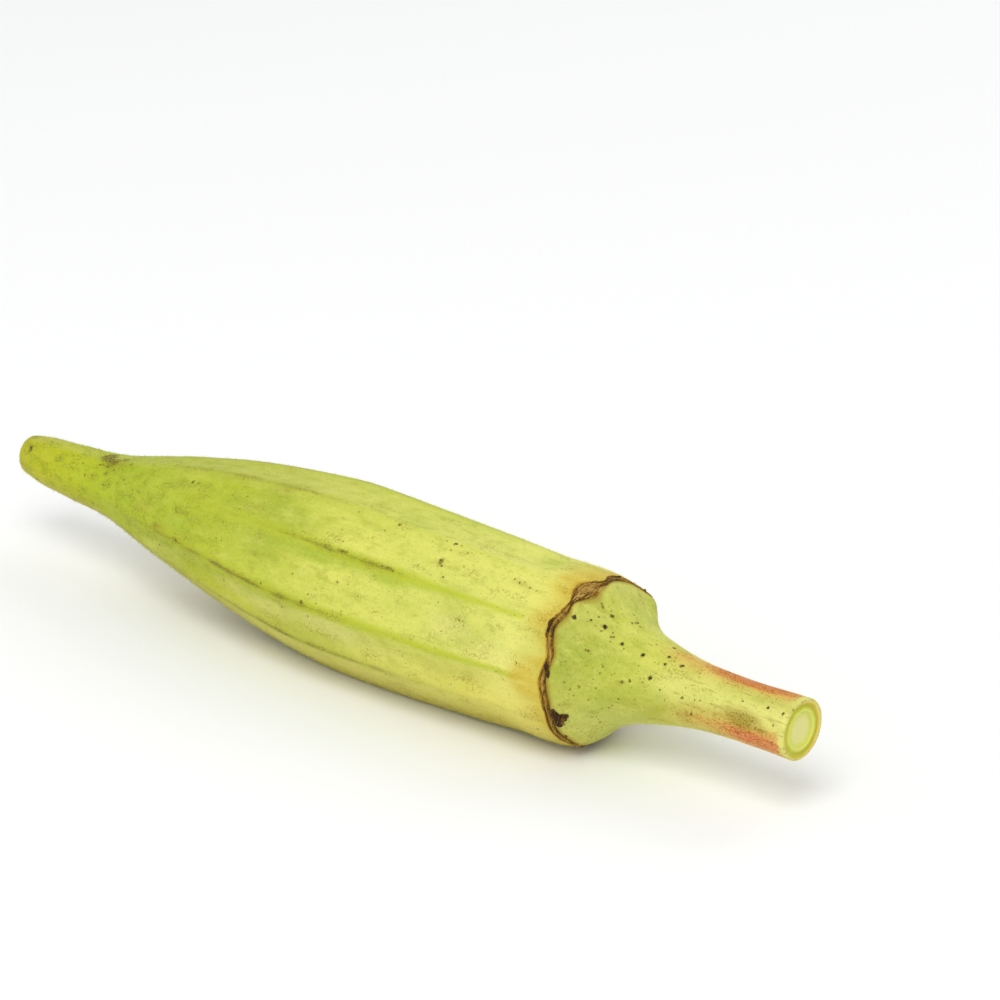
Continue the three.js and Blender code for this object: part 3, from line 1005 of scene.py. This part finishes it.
nothing_selected()
bpy.ops.mesh.primitive_ico_sphere_add(subdivisions=3, radius=1, location=(0, 0, 0))
lump = bpy.context.object
lump_corners = [vertex.co.copy() for vertex in lump.data.vertices]
lump_faces = [tuple(polygon.vertices) for polygon in lump.data.polygons]
bpy.ops.object.delete()
knot_places = [(cast(right, down), *rest) for right, down, *rest in KNOTS]
for knot_turn in FAR_KNOTS:
    knot_places.append((
        on_scar(math.radians(knot_turn), DRAW.uniform(-0.5, 0.5))[0],
        DRAW.uniform(0.5, 1.2), DRAW.uniform(0.25, 0.5), DRAW.uniform(0, 0.3),
    ))
for _ in range(REMNANT_STRANDS):
    start = cast(*[DRAW.uniform(*span) for span in REMNANT_STARTS])
    end = cast(*[DRAW.uniform(*span) for span in REMNANT_ENDS])
    _, _, normal, _ = pod.closest_point_on_mesh(start * MM)
    path = [
        start.lerp(end, part) + normal * (0.22 + 0.3 * math.sin(math.pi * part))
        for part in np.linspace(0, 1, 7)
    ]
    keep(*strand(path, [normal] * 7, DRAW.uniform(0.03, 0.05)), DRAW.uniform(-0.2, 0.5))
for place, length, width, shade in knot_places:
    _, _, normal, _ = pod.closest_point_on_mesh(place * MM)
    beside = normal.cross(Vector((1, 0, 0))).normalized()
    along_pod = beside.cross(normal)
    corners = []
    for corner in lump_corners:
        rough = 1 + 0.3 * noise.noise(corner * 1.6 + place) + 0.2 * noise.noise(corner * 5 + place)
        corners.append(
            place
            + beside * corner.x * rough * length / 2
            + along_pod * corner.y * rough * width / 2
            + normal * corner.z * rough * width * 0.42
        )
    keep(corners, lump_faces, shade)

scar_fibres = mesh_object("scar_fibres", all_corners, all_faces)
nothing_selected()
scar_fibres.select_set(True)
bpy.context.view_layer.objects.active = scar_fibres
bpy.ops.object.mode_set(mode="EDIT")
bpy.ops.mesh.select_all(action="SELECT")
bpy.ops.mesh.normals_make_consistent(inside=False)
bpy.ops.object.mode_set(mode="OBJECT")
bpy.ops.object.shade_smooth()
store(scar_fibres.data, "shade", np.clip(all_shades, -0.3, 1))


# Dry torn plant fibre: the scar's corky strands, dried in air. It gives the eye a dull brown
# that goes from near black where it is thick to tan where it is thin and frayed.
def dry_fibre():
    material, tree, shader = start_material(
        "dry torn plant fibre", {"Roughness": 0.85, "IOR": 1.5, "Specular IOR Level": 0.3}
    )
    blotches = add(tree, "TexNoise", {"Vector": place_in_mm(tree), "Scale": 4.0, "Detail": 3.0})
    shade = add(tree, "Attribute", attribute_name="shade").outputs["Fac"]
    mixed = add(tree, "Math", (blotches, 0.7, shade), operation="MULTIPLY_ADD")
    ramp = add(tree, "ValToRGB", {"Fac": mixed})
    set_stops(ramp, (
        (0.15, "#241405"), (0.42, "#543709"), (0.65, "#835e18"), (0.95, "#b08a36"), (1, "#c8a455"),
    ))
    tree.links.new(ramp.outputs["Color"], shader.inputs["Base Color"])
    bump = add(tree, "Bump", {"Height": blotches, "Strength": 0.5, "Distance": 0.1 * MM})
    tree.links.new(bump.outputs[0], shader.inputs["Normal"])
    return material


scar_fibres.data.materials.append(dry_fibre())
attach(scar_fibres, "root")


# ---------------------------------------------------------------- skin hairs
# A short down covers the pod, thinner on the cap and stem. Each hair is a slim closed spike of
# four faces that leans towards the tip. In mm, with the root set into the skin.
HAIRS = 42000
HAIR_LENGTHS = (0.2, 0.5)
HAIR_ROOT_RADIUS = 0.017
HAIR_ROOT_DEPTH = 0.03
HAIR_LEAN, HAIR_LEAN_SPREAD = -0.55, 0.5
# None grow within this many widths of the scar's middle, or this low
BARE_SCAR, BARE_BELOW = 1.1, 0.35
# How low a hair may reach, and how far past the tip
LOWEST_HAIR, PAST_THE_TIP = 0.01, 0.3

# The skin's triangles by row and column, so that they come in the same order each run
grid = np.zeros((len(rows), COLUMNS), int)
grid[row, column] = np.arange(len(row))
grid[0] = np.flatnonzero(row == 0)[0]
beyond = np.roll(grid, -1, axis=1)
triangles = np.stack(
    [grid[:-1], beyond[:-1], grid[1:], beyond[:-1], beyond[1:], grid[1:]], axis=-1
).reshape(-1, 3)
triangles = triangles[~on_cut[triangles].any(axis=1)]
ends = skin_places[triangles]
cross = np.cross(ends[:, 1] - ends[:, 0], ends[:, 2] - ends[:, 0])
area = np.linalg.norm(cross, axis=1)
face_normals = cross / np.maximum(area, 1e-12)[:, None]

# More hairs on the pod than on the cap and stem, and none on the scar, the cut or underneath
where = along[triangles].mean(axis=1)
in_scar = np.abs(scar[triangles].mean(axis=1)) < BARE_SCAR
density = area * (1 - 0.7 * smooth(where, 101, 105)) * ~in_scar * (where < LENGTH - 1)
density *= ends[:, :, 2].min(axis=1) > BARE_BELOW
chosen = DRAW.choice(len(triangles), HAIRS, p=density / density.sum())
first, second = DRAW.random((2, HAIRS))
first, second = np.where(first + second > 1, (1 - first, 1 - second), (first, second))
ends, normals = ends[chosen], face_normals[chosen]
roots = ends[:, 0] + first[:, None] * (ends[:, 1] - ends[:, 0])
roots += second[:, None] * (ends[:, 2] - ends[:, 0])
course = normals + (np.array([HAIR_LEAN, 0, 0]) + DRAW.normal(0, HAIR_LEAN_SPREAD, (HAIRS, 3)))
course /= np.linalg.norm(course, axis=1)[:, None]
reach = DRAW.uniform(*HAIR_LENGTHS, HAIRS)[:, None]
beside = np.cross(course, [0.3, 0.5, 0.8])
beside /= np.linalg.norm(beside, axis=1)[:, None]
other = np.cross(course, beside)
hair_corners = np.empty((HAIRS, 4, 3))
for number in range(3):
    turn = 2 * math.pi * number / 3
    hair_corners[:, number] = roots - HAIR_ROOT_DEPTH * normals + HAIR_ROOT_RADIUS * (
        math.cos(turn) * beside + math.sin(turn) * other
    )
hair_corners[:, 3] = roots + reach * course
hair_corners = hair_corners.reshape(-1, 3)
hair_corners[:, 0] = np.clip(hair_corners[:, 0], cad_low.x / MM - PAST_THE_TIP, cad_high.x / MM)
hair_corners[:, 2] = np.maximum(hair_corners[:, 2], LOWEST_HAIR)
starts = np.arange(HAIRS)[:, None] * 4
hair_faces = np.concatenate(
    [starts + np.array(face) for face in ((0, 1, 3), (1, 2, 3), (2, 0, 3), (2, 1, 0))]
)
skin_hairs = mesh_object("skin_hairs", hair_corners, hair_faces.tolist())


# Plant hair: single long clear cells. They give the eye a faint pale bloom on the skin and a
# soft edge.
def plant_hair():
    material, tree, shader = start_material(
        "clear plant hair", {"Roughness": 0.6, "IOR": 1.45, "Specular IOR Level": 0.25}
    )
    place = add(tree, "TexCoord").outputs["Object"]
    from_middle = add(tree, "SeparateXYZ", {"Vector": place}).outputs["X"]
    paler = add(tree, "MapRange", (from_middle, -55 * MM, 5 * MM))
    ramp = add(tree, "ValToRGB", {"Fac": paler})
    set_stops(ramp, ((0, "#b2ba36"), (1, "#dad980")))
    tree.links.new(ramp.outputs["Color"], shader.inputs["Base Color"])
    return material


skin_hairs.data.materials.append(plant_hair())
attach(skin_hairs, "root")


# ---------------------------------------------------------------- floor and light
# A matt painted board: even, pale and without gloss
FLOOR_RADIUS = 4000 * MM
nothing_selected()
bpy.ops.mesh.primitive_circle_add(
    vertices=96, radius=FLOOR_RADIUS, fill_type="NGON", location=(0, 0, 0)
)
floor = bpy.context.object
floor.name = floor.data.name = "floor"
painted, _, _ = start_material(
    "matt white paint", {"Base Color": colour("#f2f2f0"), "Roughness": 0.9}
)
floor.data.materials.append(painted)
floor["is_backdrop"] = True

world = bpy.data.worlds.new("studio")
bpy.context.scene.world = world
world.use_nodes = True
sky = world.node_tree.nodes["Background"]
sky.inputs["Color"].default_value = colour("#fbfcff")
sky.inputs["Strength"].default_value = 0.72

# Soft panels of light that face the pod: place in metres, size, power
LIGHTS = {
    "key_light": ((0.25, -0.45, 0.75), 0.5, 3.6),
    "fill_light": ((-0.6, -0.5, 0.35), 0.6, 1.1),
    "back_light": ((0.1, 0.6, 0.5), 0.5, 1.0),
}
pod_middle = Vector((0, 0, 10)) * MM
for name, (place, size, energy) in LIGHTS.items():
    nothing_selected()
    bpy.ops.object.light_add(type="AREA", location=place)
    light = bpy.context.object
    light.name = name
    light.data.energy = energy
    light.data.size = size
    light.rotation_mode = "QUATERNION"
    light.rotation_quaternion = (pod_middle - Vector(place)).to_track_quat("-Z", "Y")

bpy.context.scene.view_settings.view_transform = "Standard"

low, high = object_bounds()
